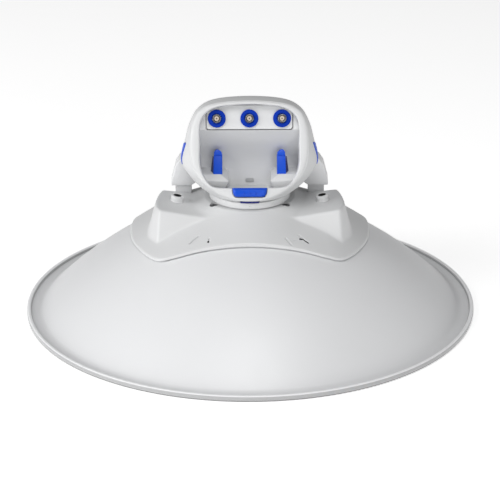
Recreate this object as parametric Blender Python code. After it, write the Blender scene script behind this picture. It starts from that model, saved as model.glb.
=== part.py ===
# Parabolic dish antenna for a radio link, lying on its rim with the back upwards.
# +Z is the back of the antenna, the camera side of the radio hood looks to -Y, and
# the origin is in the middle of the circle that the rim stands on.
from math import atan, cos, pi, radians, sin, sqrt, tan

import bmesh
import bpy
from mathutils import Matrix, Vector

MM = 0.001
GAP = 0.3 * MM

# Driving dimensions
RIM_RADIUS = 225 * MM
RIM_HEIGHT = 6 * MM
APEX_HEIGHT = 107.5 * MM
DISH_CURVE = 2.35
SHEET = 1.6 * MM
BODY_RADIUS = 213 * MM
HUB_HOLE = 20 * MM
ROUND = 64

PLATE_EDGE = 3.6 * MM
PLATE_RISE = 0.13
PLATE_SEAT = 0.6 * MM
HUB_TOP = 118 * MM
HUB_RADIUS = 43 * MM
HUB_SLOPE = 0.58

SHELF_START_X = 38 * MM
SHELF_START_Z = 109.8 * MM
SHELF_TILT = radians(10)

BOSS_PLACE = (72.5 * MM, -7.5 * MM)
BOSS_RADIUS = 6.3 * MM
BOSS_HEIGHT = 6.5 * MM
BOSS_HOLE = 4 * MM

COLLAR_RADIUS = 40 * MM
COLLAR_TOP = 125.7 * MM
SCREW_RADIUS = 4.5 * MM
SCREW_RING = 42 * MM
SCREW_ANGLE = radians(-33)

HOOD_TILT = radians(20)
CHIN = Vector((0, -42 * MM, 127.4 * MM))
HOOD_BASE = 126 * MM
PANEL_DEPTH = 8 * MM
PANEL_THICK = 3.5 * MM
PORT_SPACING = 31.9 * MM
PORT_HEIGHT = 82 * MM

FEED_RADIUS = 14 * MM


def clear_scene():
    for thing in list(bpy.data.objects):
        bpy.data.objects.remove(thing)


def paint(name, colour, roughness, metallic=0.0):
    material = bpy.data.materials.get(name)
    if material is None:
        material = bpy.data.materials.new(name)
        material.use_nodes = True
        shader = material.node_tree.nodes["Principled BSDF"]
        shader.inputs["Base Color"].default_value = (*colour, 1)
        shader.inputs["Roughness"].default_value = roughness
        shader.inputs["Metallic"].default_value = metallic
    return material


def dish_paint():
    return paint("dish_paint", (0.74, 0.75, 0.77), 0.45)


def shell_plastic():
    return paint("shell_plastic", (0.78, 0.79, 0.81), 0.5)


def bracket_paint():
    return paint("bracket_paint", (0.70, 0.71, 0.73), 0.5)


def blue_plastic():
    return paint("blue_plastic", (0.02, 0.10, 0.62), 0.35)


def plated_brass():
    return paint("plated_brass", (0.72, 0.68, 0.58), 0.3, 1.0)


def insulator():
    return paint("insulator", (0.85, 0.80, 0.68), 0.5)


def dark_steel():
    return paint("dark_steel", (0.05, 0.05, 0.055), 0.45, 0.6)


def bare_metal():
    return paint("bare_metal", (0.66, 0.67, 0.68), 0.35, 1.0)


# Making and joining shapes
def add_mesh(name, shape, material, smooth_angle=35):
    bmesh.ops.remove_doubles(shape, verts=shape.verts, dist=0.01 * MM)
    bmesh.ops.recalc_face_normals(shape, faces=shape.faces)
    mesh = bpy.data.meshes.new(name)
    shape.to_mesh(mesh)
    shape.free()
    mesh.shade_smooth()
    mesh.set_sharp_from_angle(angle=radians(smooth_angle))
    piece = bpy.data.objects.new(name, mesh)
    bpy.context.collection.objects.link(piece)
    if material is not None:
        mesh.materials.append(material)
    return piece


def spin_profile(points, segments=ROUND):
    # points are (radius, height) pairs of a closed outline, turned about +Z
    shape = bmesh.new()
    ring = [shape.verts.new((radius, 0, height)) for radius, height in points]
    for number, vert in enumerate(ring):
        shape.edges.new((vert, ring[(number + 1) % len(ring)]))
    bmesh.ops.spin(
        shape,
        geom=shape.verts[:] + shape.edges[:],
        cent=(0, 0, 0),
        axis=(0, 0, 1),
        angle=2 * pi,
        steps=segments,
        use_merge=True,
    )
    return shape


def extrude_outline(points, low, high):
    # points are (x, y) pairs, extruded from the height low to the height high
    shape = bmesh.new()
    face = shape.faces.new([shape.verts.new((x, y, low)) for x, y in points])
    moved = bmesh.ops.extrude_face_region(shape, geom=[face])["geom"]
    verts = [item for item in moved if isinstance(item, bmesh.types.BMVert)]
    bmesh.ops.translate(shape, verts=verts, vec=(0, 0, high - low))
    return shape


def hull_of(points):
    shape = bmesh.new()
    for point in points:
        shape.verts.new(point)
    bmesh.ops.convex_hull(shape, input=shape.verts)
    return shape


def box(low, high):
    points = []
    for x in (low[0], high[0]):
        for y in (low[1], high[1]):
            for z in (low[2], high[2]):
                points.append((x, y, z))
    return hull_of(points)


def loft(rings, closed=False):
    # rings are lists of points with the same count, joined in order. The last one joins
    # the first when closed, and both ends are capped when not.
    shape = bmesh.new()
    loops = []
    for ring in rings:
        loops.append([shape.verts.new(point) for point in ring])
    count = len(loops[0])
    pairs = list(zip(loops, loops[1:]))
    if closed:
        pairs.append((loops[-1], loops[0]))
    for first, second in pairs:
        for number in range(count):
            after = (number + 1) % count
            shape.faces.new((first[number], first[after], second[after], second[number]))
    if not closed:
        shape.faces.new(loops[0])
        shape.faces.new(list(reversed(loops[-1])))
    return shape


def cutter(name, shape):
    piece = add_mesh(name, shape, None)
    piece.hide_render = True
    piece.display_type = "WIRE"
    return piece


def combine(piece, operation, shape, name):
    tool = cutter(name, shape)
    change = piece.modifiers.new(name, "BOOLEAN")
    change.operation = operation
    change.object = tool
    change.solver = "EXACT"


def cut(piece, shape, name):
    combine(piece, "DIFFERENCE", shape, name)


def mirrored(shape):
    bmesh.ops.scale(shape, verts=shape.verts, vec=(-1, 1, 1))
    return shape


def for_both_sides(make):
    for side, flip in (("right", False), ("left", True)):
        make(side, flip)


def smooth_loop(half_points, per_span=4):
    # A closed loop through the points of its right half, which run from top to bottom
    left = [(-x, y) for x, y in reversed(half_points[1:-1])]
    points = list(half_points) + left
    count = len(points)
    loop = []
    for number in range(count):
        p0, p1, p2, p3 = (Vector(points[(number + k - 1) % count]) for k in range(4))
        for step in range(per_span):
            t = step / per_span
            bend = 0.5 * (
                2 * p1
                + (p2 - p0) * t
                + (2 * p0 - 5 * p1 + 4 * p2 - p3) * t * t
                + (3 * p1 - p0 - 3 * p2 + p3) * t * t * t
            )
            loop.append((bend.x, bend.y))
    return loop


def rounded_rectangle(x_low, x_high, y_low, y_high, low_radius, high_radius, steps=6):
    points = []
    corners = (
        (x_high - high_radius, y_high - high_radius, high_radius, 0),
        (x_low + high_radius, y_high - high_radius, high_radius, 90),
        (x_low + low_radius, y_low + low_radius, low_radius, 180),
        (x_high - low_radius, y_low + low_radius, low_radius, 270),
    )
    for centre_x, centre_y, radius, start in corners:
        for step in range(steps + 1):
            angle = radians(start + 90 * step / steps)
            points.append((centre_x + radius * cos(angle), centre_y + radius * sin(angle)))
    return points


# The reflector: a pressed sheet with the curve of a paraboloid
def dish_height(radius):
    return APEX_HEIGHT - DISH_CURVE * radius * radius


def dish_radii(inner, outer, step=17.5 * MM):
    radii = [inner]
    while radii[-1] + 1.5 * step < outer:
        radii.append(radii[-1] + step)
    radii.append(outer)
    return radii


def make_reflector():
    radii = dish_radii(HUB_HOLE, BODY_RADIUS)
    flange_top = 3.0 * MM
    flange_low = flange_top - SHEET
    flange_end = RIM_RADIUS - 3.6 * MM
    outer = [(r, dish_height(r)) for r in radii]
    outer[-1] = (BODY_RADIUS, flange_top)
    inner = []
    for r in radii:
        steep = atan(2 * DISH_CURVE * r)
        inner.append((r, dish_height(r) - SHEET / cos(steep)))
    inner[-1] = (BODY_RADIUS - 1.2 * MM, flange_low)
    outline = outer + [(flange_end, flange_top), (flange_end, flange_low)] + inner[::-1]
    add_mesh("reflector_shell", spin_profile(outline), dish_paint())


def make_rim():
    inner = RIM_RADIUS - 7.5 * MM
    lip = RIM_RADIUS - 5.2 * MM
    channel = RIM_RADIUS - 3.3 * MM
    bead = RIM_RADIUS - 2.9 * MM
    groove = RIM_RADIUS - 1.9 * MM
    outline = [
        (inner, 0),
        (RIM_RADIUS, 0),
        (RIM_RADIUS, RIM_HEIGHT - 0.9 * MM),
        (RIM_RADIUS - 0.7 * MM, RIM_HEIGHT),
        (groove + 0.3 * MM, RIM_HEIGHT),
        (groove, 4.6 * MM),
        (bead + 0.2 * MM, 4.6 * MM),
        (bead, 5.4 * MM),
        (lip + 0.4 * MM, 5.2 * MM),
        (lip, 3.3 * MM),
        (channel, 3.3 * MM),
        (channel, 1.1 * MM),
        (inner, 1.1 * MM),
    ]
    add_mesh("rim_hem", spin_profile(outline), bare_metal())


# The saddle plate: a moulding that carries the hub, with a raised shelf at each side
# Its outline and the shelf's two outlines are (x, y) pairs in millimetres, right half only
PLATE_HALF = (
    (0, -78.3),
    (28, -78),
    (52, -77.3),
    (74, -76.7),
    (90.4, -71.8),
    (105.6, -49.4),
    (116.2, -19.2),
    (119.8, 10),
    (120, 45),
    (117.5, 80),
    (107, 104),
    (90, 115),
    (60, 119),
    (30, 118.5),
    (0, 118),
)
SHELF_TOP = ((27, -40), (90, -39.5), (93.5, -28), (92.5, -5), (88, 20), (27, 28))
SHELF_FOOT = ((27, -46), (91.5, -50.5), (99, -38), (102, 0), (97, 25), (27, 33.5))
SHELF_SINK = 2.2 * MM
PLATE_SLOTS = (("outer", (49, -60), (57, -66.5)), ("inner", (35, -67), (38.5, -74)))
SLOT_WIDTH = 2.6 * MM


def plate_loop():
    return [Vector((x * MM, y * MM)) for x, y in smooth_loop(PLATE_HALF, 3)]


def edge_distance(point, loop):
    nearest = RIM_RADIUS
    for number, start in enumerate(loop):
        along = loop[(number + 1) % len(loop)] - start
        share = min(1.0, max(0.0, (point - start).dot(along) / along.length_squared))
        nearest = min(nearest, (start + along * share - point).length)
    return nearest


def blended_top(first, second, blend=3 * MM):
    return (first + second + sqrt((first - second) ** 2 + blend * blend)) / 2


def plate_height(point, loop):
    skirt = dish_height(point.length) + PLATE_EDGE + PLATE_RISE * edge_distance(point, loop)
    hub = HUB_TOP - HUB_SLOPE * (point.length - HUB_RADIUS)
    return blended_top(skirt, hub)


def plate_shape(lift=0.0):
    # Rings from the hub out over the top, round the edge and back along the dish
    loop = plate_loop()
    round_edge = 1.2 * MM
    tops, seats = [], []
    for share in (0.17, 0.34, 0.51, 0.68, 0.84, 1.0):
        top, seat = [], []
        for edge in loop:
            hub = edge.normalized() * HUB_RADIUS
            point = hub + (edge - hub) * share
            inner = point - edge.normalized() * (round_edge if share == 1.0 else 0)
            top.append((inner.x, inner.y, plate_height(inner, loop) + lift))
            seat.append((point.x, point.y, dish_height(point.length) + PLATE_SEAT))
        tops.append(top)
        seats.append(seat)
    lip = [(e.x, e.y, dish_height(e.length) + PLATE_EDGE - round_edge) for e in loop]

    def hub_ring(radius, height):
        return [(*(e.normalized() * radius), height) for e in loop]

    rings = [hub_ring(HUB_HOLE, HUB_TOP + lift), hub_ring(HUB_RADIUS, HUB_TOP + lift)]
    rings += tops + [lip] + seats[::-1]
    rings.append(hub_ring(HUB_RADIUS, dish_height(HUB_RADIUS) + PLATE_SEAT))
    rings.append(hub_ring(HUB_HOLE, dish_height(HUB_HOLE) + PLATE_SEAT))
    return loft(rings, closed=True)


def spread(points, spans=3):
    # Extra points along each side of a closed outline, so that its foot can follow the dish
    result = []
    for number, start in enumerate(points):
        end = points[(number + 1) % len(points)]
        for step in range(spans):
            result.append(Vector(start).lerp(Vector(end), step / spans) * MM)
    return result


def shelf_height(x):
    return SHELF_START_Z + (x - SHELF_START_X) * tan(SHELF_TILT)


def shelf_shapes():
    # Two raised blocks with tops that climb outwards and walls that lean back
    foot, shoulder, top = [], [], []
    middle = Vector((62 * MM, -4 * MM))
    round_edge = 1.8 * MM
    for high, low in zip(spread(SHELF_TOP), spread(SHELF_FOOT)):
        foot.append((low.x, low.y, dish_height(low.length) + SHELF_SINK))
        shoulder.append((high.x, high.y, shelf_height(high.x) - round_edge))
        inner = high - (high - middle).normalized() * round_edge
        top.append((inner.x, inner.y, shelf_height(inner.x)))
    shape = loft([foot, shoulder, top])
    bmesh.ops.triangulate(shape, faces=[f for f in shape.faces if len(f.verts) == 4])
    under = [f for f in shape.faces if len(f.verts) > 4 and f.calc_center_median().z < 100 * MM]
    for vert in bmesh.ops.poke(shape, faces=under)["verts"]:
        vert.co.z = dish_height(vert.co.xy.length) + SHELF_SINK
    copied = bmesh.ops.duplicate(shape, geom=shape.verts[:] + shape.edges[:] + shape.faces[:])["geom"]
    verts = [item for item in copied if isinstance(item, bmesh.types.BMVert)]
    bmesh.ops.scale(shape, verts=verts, vec=(-1, 1, 1))
    return shape


def slot_shape(start, end, width, low, high):
    start, end = Vector(start), Vector(end)
    along = (end - start).normalized()
    across = Vector((-along.y, along.x)) * width / 2
    points = []
    for centre, first in ((end, -90), (start, 90)):
        for step in range(5):
            angle = radians(first + 180 * step / 4)
            points.append(centre + along * cos(angle) * width / 2 + across * sin(angle))
    return extrude_outline([(p.x, p.y) for p in points], low, high)


def screw_place(flip):
    x = SCREW_RING * cos(SCREW_ANGLE)
    return Vector((-x if flip else x, SCREW_RING * sin(SCREW_ANGLE), 0))


def round_solid(radius, low, high, segments=24, place=(0, 0, 0)):
    shape = bmesh.new()
    bmesh.ops.create_cone(
        shape,
        cap_ends=True,
        segments=segments,
        radius1=radius,
        radius2=radius,
        depth=high - low,
        matrix=Matrix.Translation(Vector(place) + Vector((0, 0, (low + high) / 2))),
    )
    return shape


def make_plate():
    plate = add_mesh("mount_plate", plate_shape(), shell_plastic(), 30)
    for name, start, end in PLATE_SLOTS:
        for side, sign in (("right", 1), ("left", -1)):
            first = (sign * start[0] * MM, start[1] * MM)
            last = (sign * end[0] * MM, end[1] * MM)
            cut(plate, slot_shape(first, last, SLOT_WIDTH, 80 * MM, 130 * MM), f"{name}_slot_{side}")
    for side, flip in (("right", False), ("left", True)):
        recess = round_solid(SCREW_RADIUS, HUB_TOP - 3 * MM, HUB_TOP + 20 * MM, 20, screw_place(flip))
        cut(plate, recess, f"screw_recess_{side}")
    combine(plate, "UNION", shelf_shapes(), "shelf_blocks")


def make_screw(side, flip):
    low = HUB_TOP - 3 * MM + GAP
    shape = round_solid(SCREW_RADIUS - GAP, low, low + 2.2 * MM, 20, screw_place(flip))
    screw = add_mesh(f"collar_screw_{side}", shape, dark_steel())
    place = screw_place(flip)
    slot = box(
        (place.x - 5 * MM, place.y - 0.5 * MM, low + 1.2 * MM),
        (place.x + 5 * MM, place.y + 0.5 * MM, low + 4 * MM),
    )
    cut(screw, slot, f"screw_slot_{side}")


def boss_frame(flip):
    x, y = BOSS_PLACE
    place = Matrix.Translation((x, y, shelf_height(x))) @ Matrix.Rotation(-SHELF_TILT, 4, "Y")
    if flip:
        place = Matrix.Diagonal((-1, 1, 1, 1)) @ place
    return place


def make_boss(side, flip):
    outline = [
        (BOSS_HOLE, GAP),
        (BOSS_RADIUS + 0.6 * MM, GAP),
        (BOSS_RADIUS, 1.2 * MM),
        (BOSS_RADIUS, BOSS_HEIGHT - 0.6 * MM),
        (BOSS_RADIUS - 0.6 * MM, BOSS_HEIGHT),
        (BOSS_HOLE, BOSS_HEIGHT),
    ]
    shape = spin_profile(outline, 28)
    bmesh.ops.transform(shape, matrix=boss_frame(flip), verts=shape.verts)
    add_mesh(f"boss_{side}", shape, shell_plastic())


def make_collar():
    inner = 17 * MM
    outline = [
        (inner, HUB_TOP + GAP),
        (COLLAR_RADIUS, HUB_TOP + GAP),
        (COLLAR_RADIUS, COLLAR_TOP - 1 * MM),
        (COLLAR_RADIUS - 1 * MM, COLLAR_TOP),
        (inner, COLLAR_TOP),
    ]
    add_mesh("hub_collar", spin_profile(outline), shell_plastic())


# The radio hood: a domed shell whose mouth leans back from the chin
def hood_point(x, up, depth=0.0):
    along = Vector((0, sin(HOOD_TILT), cos(HOOD_TILT)))
    inward = Vector((0, cos(HOOD_TILT), -sin(HOOD_TILT)))
    return CHIN + Vector((x, 0, 0)) + along * up + inward * depth


# Right halves of its outlines as (x, up) pairs in millimetres, from the top to the chin
FACE_HALF = (
    (0, 99),
    (32, 96.6),
    (48, 90),
    (54.8, 78),
    (57.3, 56),
    (54.6, 36),
    (46, 21),
    (31, 9.2),
    (15, 2.6),
    (0, 0.5),
)
BODY_HALF = (
    (0, 105.2),
    (33, 102.6),
    (49.8, 94),
    (58.6, 80),
    (63.4, 63),
    (67.2, 42),
    (60, 27.5),
    (47, 14),
    (25, 0.5),
    (0, -3),
)
MOUTH_HALF = (
    (0, 95.6),
    (30, 93.4),
    (43.5, 86),
    (48.3, 75),
    (48.6, 56),
    (48.3, 37),
    (44, 24.5),
    (36, 15.6),
    (18, 14),
    (0, 14),
)


def section(half, size=1.0, centre_up=0.0):
    loop = smooth_loop([(x * MM, y * MM) for x, y in half])
    return [(x * size, centre_up + (y - centre_up) * size) for x, y in loop]


def mix(first, second, share):
    pairs = zip(first, second)
    return [(a[0] + (b[0] - a[0]) * share, a[1] + (b[1] - a[1]) * share) for a, b in pairs]


def hood_solid(grow=0.0):
    face = section(FACE_HALF)
    body = section(BODY_HALF)
    rings = []
    for depth, share, size in (
        (0, 0.0, 0.985),
        (1.2, 0.03, 1.0),
        (8, 0.42, 1.0),
        (15, 0.78, 1.0),
        (25, 1.0, 1.0),
        (36, 1.0, 0.975),
        (48, 1.0, 0.90),
        (58, 1.0, 0.77),
        (66, 1.0, 0.56),
        (71, 1.0, 0.30),
    ):
        centre = 50 * MM - depth * 0.3 * MM
        ring = []
        for x, up in mix(face, body, share):
            away = Vector((x, up - centre))
            away = away * size + away.normalized() * grow
            ring.append(hood_point(away.x, centre + away.y, depth * MM))
        rings.append(ring)
    return loft(rings)


def mouth_room():
    mouth = section(MOUTH_HALF)
    rings = []
    for depth, size in ((-4, 1.0), (44, 0.985)):
        rings.append([hood_point(x * size, up, depth * MM) for x, up in mouth])
    return loft(rings)


def side_profile(points, half_width):
    # points are (up, depth) pairs in millimetres in the hood's own lean
    shape = bmesh.new()
    corners = [hood_point(-half_width, up * MM, depth * MM) for up, depth in points]
    face = shape.faces.new([shape.verts.new(corner) for corner in corners])
    moved = bmesh.ops.extrude_face_region(shape, geom=[face])["geom"]
    verts = [item for item in moved if isinstance(item, bmesh.types.BMVert)]
    bmesh.ops.translate(shape, verts=verts, vec=(2 * half_width, 0, 0))
    return shape


def lean_block(x_span, up_span, depth_span):
    corners = []
    for x in x_span:
        for up in up_span:
            for depth in depth_span:
                corners.append(hood_point(x * MM, up * MM, depth * MM))
    return hull_of(corners)


def lean_stack(levels):
    corners = []
    for up, low, high, front, back in levels:
        for x in (low, high):
            for depth in (front, back):
                corners.append(hood_point(x * MM, up * MM, depth * MM))
    return hull_of(corners)


CAVITY_PROFILE = (
    (8, -6),
    (8, 10),
    (17, 38),
    (46, 40),
    (69.5, 9.5),
    (71, 8),
    (100, 8),
    (100, -6),
)
# Corners of the side button as (up, depth) in millimetres. Its front edge stands upright.
BUTTON_TOP = ((59, 13), (59, 27))
BUTTON_FOOT = ((37, 21), (37, 33))
BUTTON_PROUD = 0.5 * MM


def make_hood():
    hood = add_mesh("hood_shell", hood_solid(), shell_plastic())
    room = cutter("hood_mouth", mouth_room())
    depth_limit = room.modifiers.new("depth_limit", "BOOLEAN")
    depth_limit.operation = "INTERSECT"
    depth_limit.object = cutter("hood_profile", side_profile(CAVITY_PROFILE, 60 * MM))
    change = hood.modifiers.new("mouth", "BOOLEAN")
    change.operation = "DIFFERENCE"
    change.object = room
    pocket = lean_plate(panel_outline(0.5 * MM), PANEL_DEPTH - 1 * MM, PANEL_DEPTH + PANEL_THICK + GAP)
    cut(hood, pocket, "panel_pocket")
    under = box((-90 * MM, -90 * MM, 60 * MM), (90 * MM, 90 * MM, HOOD_BASE))
    cut(hood, under, "hood_base_cut")
    cut(hood, lean_block((-17.6, 17.6), (4.4, 20), (-6, 4)), "latch_room")
    notch = box((-10 * MM, -60 * MM, 120 * MM), (10 * MM, -35 * MM, 127.9 * MM))
    cut(hood, notch, "crescent_room")
    for side, sign in (("right", 1), ("left", -1)):
        cut(hood, button_block(sign, 60, 0.0), f"button_room_{side}")


def button_block(sign, inner_x, shrink):
    corners = []
    for rise, pair in ((-shrink, BUTTON_TOP), (shrink, BUTTON_FOOT)):
        for (up, depth), inwards in zip(pair, (shrink, -shrink)):
            for x in (inner_x, 90):
                corners.append(hood_point(sign * x * MM, (up + rise) * MM, (depth + inwards) * MM))
    return hull_of(corners)


def make_side_button(side, flip):
    sign = -1 if flip else 1
    button = add_mesh(f"side_button_{side}", hood_solid(BUTTON_PROUD), blue_plastic())
    combine(button, "INTERSECT", button_block(sign, 60.3, 0.45), f"button_block_{side}")


def lean_plate(outline, front, back):
    # outline is a loop of (x, up) pairs in metres, front and back are depths in metres
    rings = [[hood_point(x, up, depth) for x, up in outline] for depth in (front, back)]
    return loft(rings)


def panel_outline(grow=0.0):
    low, high, half = 71.6 * MM - grow, 95 * MM + grow, 42 * MM + grow
    return rounded_rectangle(-half, half, low, high, 2.5 * MM, 9 * MM, 3)


def make_panel():
    panel = add_mesh(
        "connector_panel",
        lean_plate(panel_outline(), PANEL_DEPTH, PANEL_DEPTH + PANEL_THICK),
        shell_plastic(),
    )
    for name, x in port_places():
        hole = placed_turning([(0, -9), (4.3, -9), (4.3, 9), (0, 9)], x, 20)
        cut(panel, hole, f"port_hole_{name}")


def port_places():
    return (("left", -PORT_SPACING), ("centre", 0.0), ("right", PORT_SPACING))


def port_frame(x):
    # +Z of this frame looks out of the mouth
    outward = Vector((0, -cos(HOOD_TILT), sin(HOOD_TILT)))
    across = Vector((1, 0, 0))
    turn = Matrix((across, outward.cross(across), outward)).transposed().to_4x4()
    return Matrix.Translation(hood_point(x, PORT_HEIGHT, PANEL_DEPTH)) @ turn


def placed_turning(points, x, segments):
    # points are (radius, height) in millimetres, height measured out of the panel
    shape = spin_profile([(radius * MM, height * MM) for radius, height in points], segments)
    bmesh.ops.transform(shape, matrix=port_frame(x), verts=shape.verts)
    return shape


def make_port(name, x):
    seal = [(4.5, 0.3), (8.8, 0.3), (8.8, 1.5), (8.2, 2.1), (4.5, 2.1)]
    body = [
        (2.5, -2.5),
        (4.0, -2.5),
        (4.0, 3.6),
        (3.6, 4.2),
        (3.6, 5.6),
        (3.2, 6.0),
        (2.5, 6.0),
    ]
    core = [(0.7, -2.0), (2.2, -2.0), (2.2, 5.0), (0.7, 5.0)]
    add_mesh(f"connector_seal_{name}", placed_turning(seal, x, 32), blue_plastic())
    add_mesh(f"connector_{name}", placed_turning(body, x, 24), plated_brass())
    add_mesh(f"connector_core_{name}", placed_turning(core, x, 16), insulator())


def make_clip(side, flip):
    # A bar with a narrow tip and a thin arm beside it. Each level is given as
    # (up, low x, high x, front depth, back depth) in millimetres.
    bar = lean_stack(((28.9, 26.9, 35.7, 16, 25), (46, 26.9, 35.1, 20, 25), (51.6, 29.2, 33.6, 21, 25)))
    arm = lean_stack(((28.9, 36.0, 38.8, 18, 28), (45, 35.45, 36.3, 20, 28)))
    for name, shape in (("clip_bar", bar), ("clip_arm", arm)):
        if flip:
            mirrored(shape)
        add_mesh(f"{name}_{side}", shape, blue_plastic())


def make_ledge(side, flip):
    # A white wedge that carries the clips, from the cavity's floor to its back wall
    corners = (
        (19.0, 15.9, 12),
        (33.0, 15.9, 12),
        (19.0, 20.6, 12),
        (38.5, 21.6, 12),
        (26.6, 28.6, 17),
        (43.0, 28.6, 17),
        (26.6, 28.6, 38.4),
        (43.0, 28.6, 38.4),
        (19.0, 17.4, 37.6),
        (33.0, 17.4, 37.6),
    )
    shape = hull_of([hood_point(x * MM, up * MM, depth * MM) for x, up, depth in corners])
    if flip:
        mirrored(shape)
    add_mesh(f"clip_ledge_{side}", shape, shell_plastic())


def make_lock_tab():
    add_mesh("lock_tab", lean_block((-4, 4), (19.5, 23.5), (35.5, 38)), shell_plastic())


def make_latch():
    right = [(17, 14.2), (16.4, 8.2), (14.6, 5.6), (12, 4.9)]
    outline = right + [(-x, up) for x, up in reversed(right)]
    rings = []
    for depth, size in ((-2.4, 0.93), (-1.6, 1.0), (3.7, 1.0)):
        ring = []
        for x, up in outline:
            ring.append(hood_point(x * size * MM, (9.5 + (up - 9.5) * size) * MM, depth * MM))
        rings.append(ring)
    add_mesh("front_latch", loft(rings), blue_plastic())


def make_crescent():
    low, high = COLLAR_TOP + GAP, 127.5 * MM
    outer, inner, half = COLLAR_RADIUS + 1.4 * MM, COLLAR_RADIUS - 3.5 * MM, radians(13)
    steps = 6
    points = []
    for number in range(steps + 1):
        angle = -pi / 2 - half + 2 * half * number / steps
        points.append((outer * cos(angle), outer * sin(angle)))
    for number in range(steps + 1):
        angle = -pi / 2 + half - 2 * half * number / steps
        points.append((inner * cos(angle), inner * sin(angle)))
    add_mesh("latch_release", extrude_outline(points, low, high), blue_plastic())


# The mounting bracket behind the hood
BRACKET_FRONT = 27 * MM
BRACKET_BACK = 49 * MM
CHEEK_LOW = 119 * MM


def make_bracket(side, flip):
    cheek = [
        (53.9, 122.4),
        (58.6, 119),
        (78.7, 119),
        (78.7, 123),
        (76.6, 131.4),
        (74.2, 140),
        (70.2, 146.1),
        (62, 152),
        (53.9, 152),
    ]
    shape = extrude_outline([(x * MM, z * MM) for x, z in cheek], -BRACKET_BACK, -BRACKET_FRONT)
    upright = Matrix.Rotation(radians(90), 3, "X")
    bmesh.ops.rotate(shape, verts=shape.verts, cent=(0, 0, 0), matrix=upright)
    leg = box((58.6 * MM, 30 * MM, 98.9 * MM), (74.7 * MM, 46 * MM, CHEEK_LOW - GAP))
    if flip:
        mirrored(shape)
        mirrored(leg)
    add_mesh(f"bracket_cheek_{side}", shape, bracket_paint())
    leg_piece = add_mesh(f"bracket_leg_{side}", leg, bracket_paint())
    cut(leg_piece, plate_shape(0.35 * MM), f"leg_foot_{side}")


def make_web():
    add_mesh(
        "bracket_web",
        box((-53.6 * MM, 42 * MM, 124 * MM), (53.6 * MM, 48 * MM, 150 * MM)),
        bracket_paint(),
    )


# The feed in front of the reflector, on the hidden side
def make_feed():
    top = COLLAR_TOP - 4 * MM
    tube = [
        (FEED_RADIUS - 2 * MM, 16 * MM),
        (FEED_RADIUS, 16 * MM),
        (FEED_RADIUS, top),
        (FEED_RADIUS - 2 * MM, top),
    ]
    add_mesh("feed_tube", spin_profile(tube, 32), bare_metal())
    under = dish_height(HUB_HOLE) - SHEET - 2 * MM
    flange = [
        (FEED_RADIUS + GAP, under - 4 * MM),
        (34 * MM, under - 4 * MM),
        (34 * MM, dish_height(34 * MM) - SHEET - 1 * MM),
        (FEED_RADIUS + GAP, dish_height(HUB_HOLE) - SHEET - GAP),
    ]
    add_mesh("feed_flange", spin_profile(flange, 48), bare_metal())
    cap = [
        (0, 3.3 * MM),
        (24 * MM, 3.3 * MM),
        (30 * MM, 6 * MM),
        (30 * MM, 8 * MM),
        (20 * MM, 15.7 * MM),
        (0, 15.7 * MM),
    ]
    add_mesh("feed_cap", spin_profile(cap, 40), shell_plastic())


def build():
    clear_scene()
    make_reflector()
    make_rim()
    make_plate()
    for_both_sides(make_screw)
    for_both_sides(make_boss)
    make_collar()
    make_hood()
    for_both_sides(make_side_button)
    make_panel()
    for name, x in port_places():
        make_port(name, x)
    for_both_sides(make_clip)
    for_both_sides(make_ledge)
    make_lock_tab()
    make_latch()
    make_crescent()
    for_both_sides(make_bracket)
    make_web()
    make_feed()


build()
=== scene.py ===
from math import cos, pi, radians, sin, tan

import bmesh
import bpy
import numpy as np
from mathutils import Matrix, Vector


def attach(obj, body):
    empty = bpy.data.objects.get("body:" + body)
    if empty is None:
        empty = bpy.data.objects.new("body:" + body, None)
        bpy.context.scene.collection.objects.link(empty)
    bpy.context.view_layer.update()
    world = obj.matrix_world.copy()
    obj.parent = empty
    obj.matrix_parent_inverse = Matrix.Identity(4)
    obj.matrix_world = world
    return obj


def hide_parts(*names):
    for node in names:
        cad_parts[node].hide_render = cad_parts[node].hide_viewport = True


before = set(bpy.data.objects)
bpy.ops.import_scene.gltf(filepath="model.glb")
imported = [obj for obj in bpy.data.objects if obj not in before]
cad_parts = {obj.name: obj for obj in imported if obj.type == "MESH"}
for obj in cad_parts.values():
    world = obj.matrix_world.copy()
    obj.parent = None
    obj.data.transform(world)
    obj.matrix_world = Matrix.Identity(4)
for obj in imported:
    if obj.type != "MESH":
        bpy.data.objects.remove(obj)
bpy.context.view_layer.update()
MM = 0.001

# Reflector
# Sheet metal, taken for aluminium, pressed to the curve of a paraboloid, with a flat flange
# round its foot. It is coated pale grey, and the coat has a faint orange peel.
APEX_HEIGHT = 107.5 * MM
DISH_CURVE = 2.35
SHEET = 1.6 * MM
HUB_HOLE = 20 * MM
FLANGE_TOP = 3.0 * MM
FLANGE_END = 221.4 * MM
FLANGE_BEND = 1.2 * MM
DISH_SPANS = 80
DISH_STEPS = 320
COAT_GREY = (0.73, 0.735, 0.745)
COAT_PEEL = 700
COAT_RELIEF = 0.03 * MM


def dish_height(radius):
    return APEX_HEIGHT - DISH_CURVE * radius * radius


def soft_max(first, second, blend):
    return (first + second + ((first - second) ** 2 + blend * blend) ** 0.5) / 2


def turned(points, steps, rounding=0.0, bends=3):
    # points are (radius, height) pairs of a closed outline, which is turned about +Z
    shape = bmesh.new()
    shape.faces.new([shape.verts.new((radius, 0, height)) for radius, height in points])
    if rounding:
        round_off(shape, shape.verts[:], rounding, bends)
    bmesh.ops.delete(shape, geom=shape.faces[:], context="FACES_ONLY")
    bmesh.ops.spin(
        shape,
        geom=shape.verts[:] + shape.edges[:],
        cent=(0, 0, 0),
        axis=(0, 0, 1),
        angle=2 * pi,
        steps=steps,
        use_merge=True,
    )
    return shape


def round_off(shape, geom, width, bends, affect="VERTICES"):
    bmesh.ops.bevel(
        shape,
        geom=geom,
        offset=width,
        segments=bends,
        profile=0.5,
        affect=affect,
        clamp_overlap=True,
        material=-1,
    )


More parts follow.
